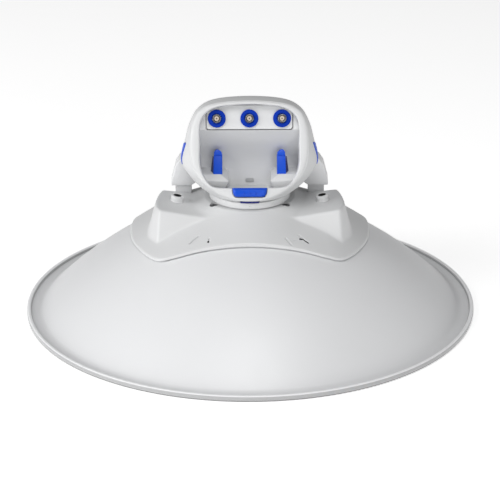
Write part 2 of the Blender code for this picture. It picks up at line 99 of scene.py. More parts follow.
def to_object(name, shape, crease=40):
    # crease is the angle in degrees past which an edge is shaded sharp
    bmesh.ops.remove_doubles(shape, verts=shape.verts, dist=0.002 * MM)
    bmesh.ops.recalc_face_normals(shape, faces=shape.faces)
    mesh = bpy.data.meshes.new(name)
    shape.to_mesh(mesh)
    shape.free()
    mesh.shade_smooth()
    mesh.set_sharp_from_angle(angle=radians(crease))
    piece = bpy.data.objects.new(name, mesh)
    bpy.context.scene.collection.objects.link(piece)
    return piece


def fit(piece, finish, slot, *nodes):
    # Gives a finished piece its material and its body, and hides the CAD nodes that it stands for
    if finish.name not in piece.data.materials:
        piece.data.materials.clear()
        piece.data.materials.append(finish)
    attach(piece, "root")
    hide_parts(*nodes)


class Wire:
    """An output of a shader node. Sums on it add Math nodes."""

    def __init__(self, tree, output):
        self.tree = tree
        self.output = output

    def node(self, kind, settings, inputs, output=0):
        node = self.tree.nodes.new(kind)
        for name, value in settings.items():
            setattr(node, name, value)
        for name, value in inputs.items():
            if isinstance(value, Wire):
                self.tree.links.new(value.output, node.inputs[name])
            else:
                node.inputs[name].default_value = value
        return Wire(self.tree, node.outputs[output])

    def calculate(self, operation, first, second):
        return self.node("ShaderNodeMath", {"operation": operation}, {0: first, 1: second})

    def __add__(self, other):
        return self.calculate("ADD", self, other)

    def __radd__(self, other):
        return self.calculate("ADD", other, self)

    def __sub__(self, other):
        return self.calculate("SUBTRACT", self, other)

    def __rsub__(self, other):
        return self.calculate("SUBTRACT", other, self)

    def __mul__(self, other):
        return self.calculate("MULTIPLY", self, other)

    def __rmul__(self, other):
        return self.calculate("MULTIPLY", other, self)

    def noise(self, scale, detail=2.0):
        # About 0.5 on average, and fixed to the piece
        return self.node("ShaderNodeTexNoise", {}, {"Vector": self, "Scale": scale, "Detail": detail})

    def between(self, low, high):
        # This wire's 0 to 1 as a mix of two colours
        inputs = {"Factor": self, 6: (*low, 1), 7: (*high, 1)}
        return self.node("ShaderNodeMix", {"data_type": "RGBA"}, inputs, 2)


def plain_finish(name, colour, roughness, metallic=0.0):
    # A material with its Principled shader, and a wire that holds the piece's own coordinates
    material = bpy.data.materials.new(name)
    material.use_nodes = True
    tree = material.node_tree
    shader = tree.nodes["Principled BSDF"]
    shader.inputs["Base Color"].default_value = (*colour, 1)
    shader.inputs["Roughness"].default_value = roughness
    shader.inputs["Metallic"].default_value = metallic
    place = Wire(tree, tree.nodes.new("ShaderNodeTexCoord").outputs["Object"])
    return material, shader, place


def feed(shader, name, wire):
    wire.tree.links.new(wire.output, shader.inputs[name])


def shade_of(colour, factor):
    return tuple(min(1.0, part * factor) for part in colour)


def mottle(shader, colour, wire, darker, lighter):
    # The colour drifts between a darker and a lighter shade as the wire goes from 0 to 1
    feed(shader, "Base Color", wire.between(shade_of(colour, darker), shade_of(colour, lighter)))


def relief(shader, height, depth):
    # height is a wire from 0 to 1, and depth is how far it stands up, in metres
    bump = height.node("ShaderNodeBump", {}, {"Height": height, "Distance": depth})
    feed(shader, "Normal", bump)


def powder_coat(name, colour, roughness=0.42):
    material, shader, place = plain_finish(name, colour, roughness)
    mottle(shader, colour, place.noise(9, 3.0), 0.975, 1.025)
    feed(shader, "Roughness", roughness - 0.06 + place.noise(60) * 0.12)
    relief(shader, place.noise(COAT_PEEL, 1.0), COAT_RELIEF)
    return material


def make_reflector():
    spans = range(DISH_SPANS + 1)
    radii = [HUB_HOLE + (FLANGE_END - HUB_HOLE) * number / DISH_SPANS for number in spans]
    outer, inner = [], []
    for radius in radii:
        lean = (1 + (2 * DISH_CURVE * radius) ** 2) ** 0.5
        back = dish_height(radius)
        outer.append((radius, soft_max(back, FLANGE_TOP, FLANGE_BEND)))
        inner.append((radius, soft_max(back - SHEET * lean, FLANGE_TOP - SHEET, FLANGE_BEND)))
    sheet = to_object("reflector_sheet", turned(outer + inner[::-1], DISH_STEPS))
    fit(sheet, powder_coat("reflector_coat", COAT_GREY), "reflector", "reflector_shell")


make_reflector()

# Rim
# The hem that stiffens the reflector's edge: a strip rolled over the flange, with a rounded
# top that faces a narrow groove inside. Its colour holds painted light: grey down the side as
# painted shade, a dark foot as a painted contact shadow, and a lighter top as painted light.
RIM_RADIUS = 225 * MM
RIM_STEPS = 320
# Shares of white for the hem: the side in painted shade, the top raised as painted light, and the foot
# darker still as a painted contact shadow
HEM_SIDE_PAINTED_SHADE = 0.40
HEM_TOP_PAINTED_LIGHT = 0.52
HEM_FOOT_PAINTED_SHADOW = 0.30


def hem_painted_light_coat():
    material, shader, place = plain_finish("hem_painted_light_coat", COAT_GREY, 0.36)
    height = place.node("ShaderNodeSeparateXYZ", {}, {0: place}, 2)
    foot = place.node("ShaderNodeMapRange", {}, {"Value": height, 1: 0.8 * MM, 2: 1.5 * MM})
    top = place.node("ShaderNodeMapRange", {}, {"Value": height, 1: 4.9 * MM, 2: 5.7 * MM})
    # Painted shade down the side and at the foot, and painted light on the rounded top
    shade = HEM_SIDE_PAINTED_SHADE - HEM_FOOT_PAINTED_SHADOW + foot * HEM_FOOT_PAINTED_SHADOW + top * HEM_TOP_PAINTED_LIGHT + place.noise(30) * 0.02
    feed(shader, "Base Color", shade.between((0, 0, 0), (0.985, 0.99, 1)))
    feed(shader, "Roughness", 0.3 + place.noise(60) * 0.12)
    relief(shader, place.noise(COAT_PEEL, 1.0), COAT_RELIEF)
    return material


def make_rim():
    # In millimetres: how far in from the outer edge, and how high
    section = (
        (7.5, 0),
        (1.3, 0),
        (0.5, 0.5),
        (0, 2.4),
        (0, 4.8),
        (0.6, 5.7),
        (1.8, 6.0),
        (3.6, 5.6),
        (4.6, 3.9),
        (4.8, 3.3),
        (3.3, 3.3),
        (3.3, 1.1),
        (7.5, 1.1),
    )
    outline = [(RIM_RADIUS - inwards * MM, height * MM) for inwards, height in section]
    hem = to_object("rolled_hem", turned(outline, RIM_STEPS, 0.4 * MM), 50)
    fit(hem, hem_painted_light_coat(), "rim", "rim_hem")


make_rim()

# Saddle plate
# A white moulding that seats on the reflector's back and carries the hub. Its top swells to
# a cone at the hub, and a shelf with a climbing top stands at each side.
PLATE_HALF = (
    (0, -78.3),
    (28, -78),
    (52, -77.3),
    (74, -76.7),
    (90.4, -71.8),
    (105.6, -49.4),
    (116.2, -19.2),
    (119.8, 10),
    (120, 45),
    (117.5, 80),
    (107, 104),
    (90, 115),
    (60, 119),
    (30, 118.5),
    (0, 118),
)
PLATE_EDGE = 3.6 * MM
PLATE_RISE = 0.13
PLATE_SEAT = 0.6 * MM
PLATE_STEPS = 540
HUB_TOP = 118 * MM
HUB_RADIUS = 43 * MM
HUB_SLOPE = 0.58
# The plate is first turned with this gap at the axis, which keeps its inner ring open
AXIS_GAP = 0.2
# Shares of the plate's reach and height: how its edge rolls over, and where it tucks in below
EDGE_ROLL = (0.017, 0.55)
EDGE_TUCK = 0.972
SHELF_TILT = radians(10)
SHELF_START = (38 * MM, 109.8 * MM)
# Two walls of the shelf: a point of the upper edge as x, y and height in millimetres, and how
# steeply the wall climbs there along x and along y
SHELF_FRONT = (38, -40.5, 109.8, 0.117, 2.85)
SHELF_CORNER = (89, -39.5, 118.7, -3.86, 2.13)
# The side wall bows outwards, and the back wall runs a little askew
SIDE_EDGE = (93.6 * MM, 118.9 * MM)
SIDE_STEEPNESS = 4.0
SIDE_BOW = 3.5
SIDE_BOW_MIDDLE = -22 * MM
BACK_EDGE = (27 * MM, 28 * MM)
BACK_STEEPNESS = 2.9
BACK_SKEW = 0.131
TOP_RIDGE = 4 * MM
WALL_RIDGE = 5 * MM
CORNER_RIDGE = 12 * MM
SHELL_WHITE = (0.625, 0.63, 0.635)
# Painted shade for the walls of deep holes
HOLLOW_PAINTED_SHADE = (0.012, 0.012, 0.013)


def soft_min(first, second, blend):
    return first + second - soft_max(first, second, blend)


def smooth_loop(half_points, per_span):
    # A closed curve through the right half's points in millimetres and their mirror images
    half = np.array(half_points, float) * MM
    points = np.vstack([half, (half[1:-1] * (-1, 1))[::-1]])
    share = np.linspace(0, 1, per_span, endpoint=False)[None, :, None]
    p0, p1, p2, p3 = (np.roll(points, 1 - shift, axis=0)[:, None] for shift in range(4))
    curve = 0.5 * (
        2 * p1
        + (p2 - p0) * share
        + (2 * p0 - 5 * p1 + 4 * p2 - p3) * share**2
        + (3 * p1 - p0 - 3 * p2 + p3) * share**3
    )
    return curve.reshape(-1, 2)


def edge_distance(x, y, loop):
    nearest = np.full(x.shape, 1.0)
    for start, end in zip(loop, np.roll(loop, -1, axis=0)):
        along = end - start
        share = ((x - start[0]) * along[0] + (y - start[1]) * along[1]) / (along @ along)
        share = np.clip(share, 0, 1)
        gap = np.hypot(start[0] + along[0] * share - x, start[1] + along[1] * share - y)
        nearest = np.minimum(nearest, gap)
    return nearest


def shelf_top(x):
    return SHELF_START[1] + (x - SHELF_START[0]) * tan(SHELF_TILT)


def wall_height(wall, x, y):
    edge_x, edge_y, height, climb_x, climb_y = wall
    return height * MM + climb_x * (x - edge_x * MM) + climb_y * (y - edge_y * MM)


def shelf_surface(x, y):
    # The lowest of the shelf's top and walls, with soft ridges. x is counted from the middle.
    top = shelf_top(x)
    bow = SIDE_BOW * (y - SIDE_BOW_MIDDLE) ** 2
    side = SIDE_EDGE[1] - SIDE_STEEPNESS * (x - SIDE_EDGE[0] + bow)
    back = top - BACK_STEEPNESS * (y - BACK_EDGE[1] + BACK_SKEW * (x - BACK_EDGE[0]))
    flank = soft_min(wall_height(SHELF_CORNER, x, y), side, CORNER_RIDGE)
    front = soft_min(wall_height(SHELF_FRONT, x, y), flank, WALL_RIDGE)
    return soft_min(top, soft_min(front, back, WALL_RIDGE), TOP_RIDGE)


def plate_top(x, y):
    radius = np.hypot(x, y)
    loop = smooth_loop(PLATE_HALF, 3)
    skirt = dish_height(radius) + PLATE_EDGE + PLATE_RISE * edge_distance(x, y, loop)
    cone = HUB_TOP - HUB_SLOPE * np.maximum(0, radius - HUB_RADIUS)
    body = np.minimum(HUB_TOP, soft_max(skirt, cone, 3 * MM))
    return soft_max(body, shelf_surface(np.abs(x), y), 2.5 * MM)


def reshape(shape, move):
    # Moves every vertex by a function that takes and gives arrays of x, y and z
    places = np.array([vert.co for vert in shape.verts])
    moved = np.column_stack(move(*places.T))
    for vert, place in zip(shape.verts, moved):
        vert.co = place


def together(shapes):
    # Several shapes that don't touch each other, as one
    whole = bmesh.new()
    for shape in shapes:
        part = bpy.data.meshes.new("part")
        shape.to_mesh(part)
        shape.free()
        whole.from_mesh(part)
        bpy.data.meshes.remove(part)
    return whole


def mirrored(shape):
    bmesh.ops.scale(shape, verts=shape.verts, vec=(-1, 1, 1))
    return shape


def both_sides(shape):
    return together([shape.copy(), mirrored(shape)])


def carve(piece, shape, finishes=(), operation="DIFFERENCE", crease=40):
    # Cuts a shape away, or keeps only what lies in it. The new faces take the finishes.
    tool = to_object("tool", shape)
    for finish in finishes:
        tool.data.materials.append(finish)
    change = piece.modifiers.new("carve", "BOOLEAN")
    change.operation = operation
    change.object = tool
    change.solver = "EXACT"
    change.material_mode = "TRANSFER"
    evaluated = piece.evaluated_get(bpy.context.evaluated_depsgraph_get())
    made = bpy.data.meshes.new_from_object(evaluated)
    piece.modifiers.clear()
    piece.data = made
    made.shade_smooth()
    made.set_sharp_from_angle(angle=radians(crease))
    bpy.data.objects.remove(tool)


def in_metres(points):
    return [(first * MM, second * MM) for first, second in points]


def push_up(shape, rise):
    raised = bmesh.ops.extrude_face_region(shape, geom=shape.faces[:])["geom"]
    verts = [item for item in raised if isinstance(item, bmesh.types.BMVert)]
    bmesh.ops.translate(shape, verts=verts, vec=(0, 0, rise))


def pushed(points, low, high, rounding=0.0, bends=4):
    # points are (x, y) pairs of a closed outline, pushed up from the height low to high
    shape = bmesh.new()
    shape.faces.new([shape.verts.new((x, y, low)) for x, y in points])
    if rounding:
        round_off(shape, shape.verts[:], rounding, bends)
    push_up(shape, high - low)
    return shape


def oblong(low_x, high_x, low_y, high_y):
    return [(low_x, low_y), (high_x, low_y), (high_x, high_y), (low_x, high_y)]


def pull(shape, lid, rise, grow_x, grow_y, middle_y=0.0):
    # Pulls a face out along +Z, scales it about (0, middle_y) and returns it
    raised = bmesh.ops.extrude_face_region(shape, geom=[lid])["geom"]
    bmesh.ops.delete(shape, geom=[lid], context="FACES_ONLY")
    for item in raised:
        if isinstance(item, bmesh.types.BMVert):
            item.co.x *= grow_x
            item.co.y = middle_y + (item.co.y - middle_y) * grow_y
            item.co.z += rise
    return next(item for item in raised if isinstance(item, bmesh.types.BMFace))


def moulded(name, colour, roughness=0.5, grain=0.02 * MM):
    # Plastic from a mould with a fine spark-eroded texture, and a slow drift in its colour
    material, shader, place = plain_finish(name, colour, roughness)
    mottle(shader, colour, place.noise(14, 3.0), 0.98, 1.02)
    feed(shader, "Roughness", roughness - 0.05 + place.noise(90) * 0.1)
    relief(shader, place.noise(1600, 3.0) * 0.6 + place.noise(420) * 0.4, grain)
    return material


def hollow_painted_shade():
    # Painted shade: a near-black colour that stands in for the shade on the wall of a deep hole
    material, shader, place = plain_finish("hollow_painted_shade", HOLLOW_PAINTED_SHADE, 0.8)
    mottle(shader, HOLLOW_PAINTED_SHADE, place.noise(300), 0.7, 1.4)
    feed(shader, "Roughness", 0.7 + place.noise(900) * 0.2)
    relief(shader, place.noise(1600), 0.02 * MM)
    return material


def slot_tool(start, end, width, depth, chamfer):
    # A slot with round ends and a chamfer, square to the plate's surface there
    width, depth, chamfer = width * MM, depth * MM, chamfer * MM
    middle = (Vector(start) + Vector(end)) / 2 * MM
    length = (Vector(end) - Vector(start)).length * MM
    reach = 0.5 * MM

    def height(x, y):
        return float(plate_top(np.array([x]), np.array([y]))[0])

    here = height(middle.x, middle.y)
    slope_x = (height(middle.x + reach, middle.y) - here) / reach
    slope_y = (height(middle.x, middle.y + reach) - here) / reach
    out = Vector((-slope_x, -slope_y, 1)).normalized()
    run = Vector((*(Vector(end) - Vector(start)), 0))
    along = (run - out * run.dot(out)).normalized()
    place = Matrix((along, out.cross(along), out)).transposed().to_4x4()
    place.translation = (middle.x, middle.y, here)

    half, side = length / 2 + width / 2, width / 2
    shape = pushed(oblong(-half, half, -side, side), -depth, 0.1 * MM - chamfer, side * 0.98, 5)
    lid = max(shape.faces, key=lambda face: face.calc_center_median().z)
    walls = [face for face in shape.faces if face != lid and depth > DEEP]
    lid = pull(shape, lid, chamfer, 1 + chamfer / half, 1 + chamfer / side)
    pull(shape, lid, 2 * MM, 1, 1)
    # The deep slot's walls take the painted shade
    for face in walls:
        face.material_index = 1
    bmesh.ops.transform(shape, matrix=place, verts=shape.verts)
    return shape


def quarter_roll(inwards, deep, steps):
    # A rounded edge as pairs: the depth behind its face, and how far in it still lies there
    bends = [pi / 2 * step / steps for step in range(steps + 1)]
    return [(deep * (1 - cos(bend)), inwards * (1 - sin(bend))) for bend in bends]


def unit_plate():
    # Radius stands for the way from the hub's hole to the edge, height for the way from the
    # seat on the dish to the top. The rings lie closer where the surface bends more, and the
    # edge tucks in below, which leaves a dark line on the dish.
    shares = [*np.linspace(0, 0.22, 7), *np.linspace(0.23, 0.975, 92)]
    profile = [(AXIS_GAP + share, 1.0) for share in shares]
    profile += [(AXIS_GAP + 1 - drop, 1 - down) for down, drop in quarter_roll(*EDGE_ROLL, 5)]
    profile += [(AXIS_GAP + share, 0.0) for share in np.linspace(EDGE_TUCK, 0, 10)]
    return turned(profile, PLATE_STEPS)


def on_the_dish(x, y, layer):
    edge = smooth_loop(PLATE_HALF, 12)
    order = np.argsort(np.arctan2(edge[:, 1], edge[:, 0]))
    turns = np.arctan2(edge[:, 1], edge[:, 0])[order]
    reaches = np.hypot(edge[:, 0], edge[:, 1])[order]
    share = np.hypot(x, y) - AXIS_GAP
    turn = np.arctan2(y, x)
    reach = np.interp(turn, turns, reaches, period=2 * pi)
    radius = HUB_HOLE + (reach - HUB_HOLE) * share
    x, y = radius * np.cos(turn), radius * np.sin(turn)
    seat = dish_height(radius) + PLATE_SEAT
    return x, y, seat + (plate_top(x, y) - seat) * layer


BOSS_PLACE = (72.5 * MM, -7.5 * MM)
BOSS_RADIUS = 6.3 * MM
BOSS_HEIGHT = 6.5 * MM
BOSS_HOLE = 4 * MM
BORE_RADIUS = 3.6 * MM
BORE_DEPTH = 9 * MM
SCREW_RING = 42 * MM
SCREW_ANGLE = radians(-33)
SCREW_RADIUS = 4.3 * MM
SCREW_SINK = 3 * MM
# Each slot is its start, its end, its width, its depth and its chamfer, in millimetres. The
# two sides differ, and the second list of each side cuts into the first.
SLOTS_RIGHT = (
    ((50.4, -62.9), (57.0, -67.5), 1.3, 9, 0.9),
    ((34.8, -67.6), (40.2, -74.8), 1.1, 1.3, 0.9),
    ((41.0, -69.2), (45.4, -67.0), 1.4, 0.45, 0.5),
)
MORE_RIGHT = (
    ((47.6, -60.8), (51.0, -63.2), 1.3, 1.5, 0.9),
    ((48.9, -65.2), (51.4, -64.4), 2.2, 9, 0.1),
)
SLOTS_LEFT = (
    ((50.3, -59.6), (58.6, -67.4), 1.2, 1.3, 0.9),
    ((39.7, -66.4), (40.0, -68.6), 1.1, 1.0, 0.7),
)
MORE_LEFT = (((40.4, -70.1), (40.5, -70.9), 1.9, 9, 0.1),)
# A slot that is deeper than this has walls in painted shade
DEEP = 5 * MM


def boss_frame():
    x, y = BOSS_PLACE
    return Matrix.Translation((x, y, shelf_top(x))) @ Matrix.Rotation(-SHELF_TILT, 4, "Y")


def screw_frame():
    x, y = SCREW_RING * cos(SCREW_ANGLE), SCREW_RING * sin(SCREW_ANGLE)
    return Matrix.Translation((x, y, HUB_TOP - SCREW_SINK))


def drill(radius, low, high, steps):
    # A round bar along +Z that cuts a hole
    return turned([(0, low), (radius, low), (radius, high), (0, high)], steps)


def boss_bore():
    hole = drill(BORE_RADIUS, -BORE_DEPTH, 4 * MM, 32)
    # The bore's faces take the painted shade
    for face in hole.faces:
        face.material_index = 1
    bmesh.ops.transform(hole, matrix=boss_frame(), verts=hole.verts)
    return hole


def screw_room():
    shape = drill(SCREW_RADIUS, 0, 20 * MM, 40)
    bmesh.ops.transform(shape, matrix=screw_frame(), verts=shape.verts)
    return shape


def make_plate():
    shape = unit_plate()
    reshape(shape, on_the_dish)
    plate = to_object("saddle_plate", shape)
    finishes = (moulded("plate_plastic", SHELL_WHITE), hollow_painted_shade())
    plate.data.materials.append(finishes[0])
    carve(plate, both_sides(together([boss_bore(), screw_room()])), finishes, crease=28)
    for right, left in ((SLOTS_RIGHT, SLOTS_LEFT), (MORE_RIGHT[:1], MORE_LEFT), (MORE_RIGHT[1:], ())):
        tools = [slot_tool(*slot) for slot in right] + [mirrored(slot_tool(*slot)) for slot in left]
        carve(plate, together(tools), finishes, crease=28)
    fit(plate, finishes[0], "shell", "mount_plate")


make_plate()

# Bosses and collar screws
# A round boss with a screw hole stands square on each shelf. A dark zinc screw with a cross
# recess sits sunk beside the collar at each side.
ZINC = (0.13, 0.13, 0.135)
# The recess's sizes are in millimetres and its turn is in degrees
RECESS_REACH = 2
RECESS_HALF = 0.45
RECESS_TURN = 25


def as_drawn(shape):
    return shape


# A side's name, and what turns a shape drawn for the right side into that side's
SIDES = (("right", as_drawn), ("left", mirrored))


def make_boss(side, turn):
    outline = [
        (BOSS_HOLE, 0.3 * MM),
        (BOSS_RADIUS + 0.8 * MM, 0.3 * MM),
        (BOSS_RADIUS + 0.1 * MM, 0.9 * MM),
        (BOSS_RADIUS, 1.7 * MM),
        (BOSS_RADIUS, BOSS_HEIGHT),
        (BOSS_HOLE, BOSS_HEIGHT),
    ]
    shape = turned(outline, 64, 0.45 * MM)
    for face in shape.faces:
        # The faces inside the hole take the painted shade
        face.material_index = int(face.calc_center_median().xy.length < BOSS_HOLE + 0.02 * MM)
    bmesh.ops.transform(shape, matrix=boss_frame(), verts=shape.verts)
    boss = to_object(f"shelf_boss_{side}", turn(shape), 50)
    boss.data.materials.append(bpy.data.materials["plate_plastic"])
    boss.data.materials.append(bpy.data.materials["hollow_painted_shade"])
    fit(boss, bpy.data.materials["plate_plastic"], "shell", f"boss_{side}")


def zinc():
    material, shader, place = plain_finish("dark_zinc", ZINC, 0.42, 0.6)
    feed(shader, "Roughness", 0.34 + place.noise(900) * 0.16)
    relief(shader, place.noise(2600), 0.01 * MM)
    return material


def make_screw(side, turn, finish):
    outline = in_metres([(0, 0.3), (4.1, 0.3), (4.1, 1.3), (3, 2.4), (0, 2.6)])
    shape = turned(outline, 48, 0.25 * MM)
    bmesh.ops.transform(shape, matrix=screw_frame(), verts=shape.verts)
    screw = to_object(f"sunk_screw_{side}", turn(shape))
    for quarter in (RECESS_TURN, RECESS_TURN + 90):
        bar = pushed(oblong(-RECESS_REACH, RECESS_REACH, -RECESS_HALF, RECESS_HALF), 1.2, 4)
        bmesh.ops.scale(bar, verts=bar.verts, vec=(MM, MM, MM))
        place = screw_frame() @ Matrix.Rotation(radians(quarter), 4, "Z")
        bmesh.ops.transform(bar, matrix=place, verts=bar.verts)
        carve(screw, turn(bar))
    fit(screw, finish, "screw", f"collar_screw_{side}")


zinc_finish = zinc()
for side, turn in SIDES:
    make_boss(side, turn)
    make_screw(side, turn, zinc_finish)

# Hub collar
# The ring between the plate and the hood, a white moulding with a rounded shoulder. It has a
# pin-prick hole at the front.
COLLAR_RADIUS = 40 * MM
COLLAR_TOP = 125.7 * MM
COLLAR_BORE = 17 * MM
COLLAR_FOOT = COLLAR_RADIUS - 1.6 * MM
PIN_HEIGHT = 122.6 * MM


def make_collar():
    low = HUB_TOP + 0.3 * MM
    outline = [
        (COLLAR_BORE, low),
        (COLLAR_FOOT, low),
        (COLLAR_FOOT, low + 1.3 * MM),
        (COLLAR_RADIUS, low + 1.5 * MM),
        (COLLAR_RADIUS, COLLAR_TOP),
        (COLLAR_BORE, COLLAR_TOP),
    ]
    collar = to_object("hub_ring", turned(outline, 256, 0.35 * MM, 4), 50)
    pin = drill(0.5 * MM, -2 * MM, 2 * MM, 16)
    place = Matrix.Translation((0, -COLLAR_RADIUS, PIN_HEIGHT)) @ Matrix.Rotation(pi / 2, 4, "X")
    bmesh.ops.transform(pin, matrix=place, verts=pin.verts)
    carve(collar, pin, crease=50)
    fit(collar, moulded("collar_plastic", SHELL_WHITE, 0.48), "shell", "hub_collar")


make_collar()

# Radio hood
# A domed white shell that leans back from the chin. Its wide mouth has a soft lip, and the
# cavity behind it slopes back from the connector panel to a wall and a floor.
HOOD_TILT = radians(20)
CHIN = Vector((0, -42 * MM, 127.4 * MM))
HOOD_BASE = 126 * MM
HOOD_SIDES = 216
# The sizes below are in millimetres, measured in the hood's own lean
HOOD_END = 73.5
# Depth at which the body reaches its full outline, and the powers that shape the dome past it
BODY_DEPTH = 25
DOME_POWERS = (2.3, 2.1)
# The middle of the rings, and how far it sinks for each step of depth
RING_MIDDLE = 50
RING_SINK = 0.3
FACE_HALF = (
    (0, 98.85),
    (32, 96.45),
    (48, 90),
    (54.8, 78),
    (57.3, 56),
    (54.6, 36),
    (46, 21),
    (31, 9.2),
    (15, 2.6),
    (0, 0.5),
)
BODY_HALF = (
    (0, 104.55),
    (33, 101.95),
    (49.8, 94),
    (58.6, 80),
    (63.4, 63),
    (67.2, 42),
    (60, 27.5),
    (47, 14),
    (25, 0.5),
    (0, -3),
)
MOUTH_HALF = (
    (0, 95.6),
    (30, 93.4),
    (43.5, 86),
    (48.3, 75),
    (48.6, 56),
    (48.3, 37),
    (44, 24.5),
    (36, 15.6),
    (18, 14),
    (0, 14),
)
MOUTH_LIP = 1.8
# The face rolls back towards its edge: how far in, and how deep
FACE_ROLL = (5.0, 1.7)
PANEL_DEPTH = 8
PANEL_THICK = 3.5
PANEL_JOINT = 0.9
PANEL_HALF = 42
PANEL_LOW = 71.6
PANEL_HIGH = 95
# The cavity from the side as (up, depth): up the floor and the back wall, round a soft corner,
# and forward along the slope to the panel
CAVITY_WALL = ((8, -6), (8, 10), (17, 38))
CAVITY_CORNER = ((29, 38.8), (44.5, 40.6), (57, 24.8))
CAVITY_SLOPE = ((69.5, 9.5), (71, 8), (100, 8), (100, -6))
LATCH_ROOM = ((-17.6, 20), (-17.5, 12), (-16.8, 8), (-14.8, 5.1), (-12, 4.4))
LATCH_ROOM += tuple((-x, up) for x, up in LATCH_ROOM[::-1])
# Corners of the side button's front and back edges as (up, depth)
BUTTON = ((59, 13), (59, 27), (37, 33), (37, 21))
BUTTON_PROUD = 0.5

# Turns a shape drawn in (x, up, depth) into its place in the leaning hood
LEAN = Matrix(
    (
        (1, 0, 0, CHIN.x),
        (0, sin(HOOD_TILT), cos(HOOD_TILT), CHIN.y),
        (0, cos(HOOD_TILT), -sin(HOOD_TILT), CHIN.z),
        (0, 0, 0, 1),
    )
)
# The same for a shape drawn in (up, depth, x)
SIDEWAYS = LEAN @ Matrix(((0, 0, 1, 0), (1, 0, 0, 0), (0, 1, 0, 0), (0, 0, 0, 1)))


def bend_through(start, corner, end, steps):
    # A curve from start to end that leans towards the corner between them
    shares = [step / steps for step in range(steps + 1)]
    start, corner, end = Vector(start), Vector(corner), Vector(end)
    return [tuple(start.lerp(corner, share).lerp(corner.lerp(end, share), share)) for share in shares]


def dome_rings(grow=0.0):
    # Each ring is its depth, its share of the body's outline, its size and its offset, in mm
    rings = [(depth, 0.0, 1.0, grow - drop) for depth, drop in quarter_roll(*FACE_ROLL, 10)]
    for depth in np.linspace(2, HOOD_END, 54):
        share = sin(pi / 2 * min(1.0, depth / BODY_DEPTH)) ** 1.1
        past = max(0.0, depth - BODY_DEPTH) / (HOOD_END - BODY_DEPTH)
        size = max(0.0, 1 - past ** DOME_POWERS[0]) ** (1 / DOME_POWERS[1])
        rings.append((depth, share, size, grow * min(1.0, size * 4)))
    return rings


def ringed_solid(rings, first_loop, second_loop):
    # A closed solid round the hood's depth axis. Its rings blend two outlines.
    profile = [(0, 0)] + [(1, number) for number in range(len(rings))] + [(0, len(rings) - 1)]
    shape = turned(profile, HOOD_SIDES)
    table = np.array(rings)
    per_span = HOOD_SIDES // (2 * (len(FACE_HALF) - 1))
    first, second = smooth_loop(first_loop, per_span), smooth_loop(second_loop, per_span)

    def place(x, y, height):
        depth, share, size, offset = table[np.rint(height).astype(int)].T
        step = np.rint(np.arctan2(y, x) / (2 * pi) * HOOD_SIDES).astype(int) % HOOD_SIDES
        loop = first[step] + (second[step] - first[step]) * share[:, None]
        middle = (RING_MIDDLE - depth * RING_SINK) * MM
        across, up = loop[:, 0], loop[:, 1] - middle
        far = np.hypot(across, up)
        stretch = (size + offset * MM / far) * np.rint(np.hypot(x, y))
        return across * stretch, middle + up * stretch, depth * MM

    reshape(shape, place)
    bmesh.ops.transform(shape, matrix=LEAN, verts=shape.verts)
    return shape


def mouth_room():
    rings = [(-3, 0, 1.0, MOUTH_LIP + 0.6)]
    rings += [(depth, 0, 1.0, drop) for depth, drop in quarter_roll(MOUTH_LIP, MOUTH_LIP, 6)]
    rings += [(12, 0, 0.997, 0.0), (30, 0, 0.991, 0.0), (44, 0, 0.985, 0.0)]
    return ringed_solid(rings, MOUTH_HALF, MOUTH_HALF)


def placed(points, low, high, frame_of, rounding=0.0, slant=0.0):
    # An outline in millimetres, pushed between two levels and set in a frame of the hood. The
    # slant is how far its levels move for each step along its second axis.
    shape = pushed(points, low, high, rounding, 5)
    for vert in shape.verts:
        vert.co.z += slant * vert.co.y
    bmesh.ops.scale(shape, verts=shape.verts, vec=(MM, MM, MM))
    bmesh.ops.transform(shape, matrix=frame_of, verts=shape.verts)
    return shape


def ease_edges(shape, width, bends=3, angle=30):
    # Rounds every edge that turns by more than the angle
    bmesh.ops.remove_doubles(shape, verts=shape.verts, dist=0.002 * MM)
    bmesh.ops.recalc_face_normals(shape, faces=shape.faces)
    whole = [edge for edge in shape.edges if edge.is_manifold]
    edges = [edge for edge in whole if edge.calc_face_angle() > radians(angle)]
    round_off(shape, edges, width, bends, "EDGES")
    return shape


def panel_solid(grow, front, back):
    # The connector panel's outline, with small corners below and large ones above
    shape = bmesh.new()
    half, low, high = PANEL_HALF + grow, PANEL_LOW - grow, PANEL_HIGH + grow
    corners = [shape.verts.new((x, up, front)) for x, up in oblong(-half, half, low, high)]
    shape.faces.new(corners)
    round_off(shape, corners[2:], 9, 6)
    round_off(shape, corners[:2], 2.5, 5)
    push_up(shape, back - front)
    bmesh.ops.scale(shape, verts=shape.verts, vec=(MM, MM, MM))
    bmesh.ops.transform(shape, matrix=LEAN, verts=shape.verts)
    return shape


def make_hood():
    hood = to_object("radio_hood", ringed_solid(dome_rings(), FACE_HALF, BODY_HALF))
    room = to_object("mouth", mouth_room())
    cavity = [*CAVITY_WALL, *bend_through(*CAVITY_CORNER, 8), *CAVITY_SLOPE]
    carve(room, placed(cavity, -60, 60, SIDEWAYS), operation="INTERSECT")
    space = bmesh.new()
    space.from_mesh(room.data)
    bpy.data.objects.remove(room)
    carve(hood, space)
    latch_room = placed(LATCH_ROOM, -6, 4, LEAN)
    notch = pushed(oblong(-10 * MM, 10 * MM, -60 * MM, -35 * MM), 120 * MM, 127.9 * MM)
    buttons = both_sides(placed(BUTTON, 60, 90, SIDEWAYS, 2.0))
    panel_room = panel_solid(PANEL_JOINT, PANEL_DEPTH - 1, PANEL_DEPTH + PANEL_THICK + 1)
    carve(hood, together([panel_room, latch_room, notch, buttons]))
    below = oblong(-90 * MM, 90 * MM, -90 * MM, 90 * MM)
    carve(hood, pushed(below, 60 * MM, HOOD_BASE))
    fit(hood, moulded("hood_plastic", SHELL_WHITE), "shell", "hood_shell")


make_hood()

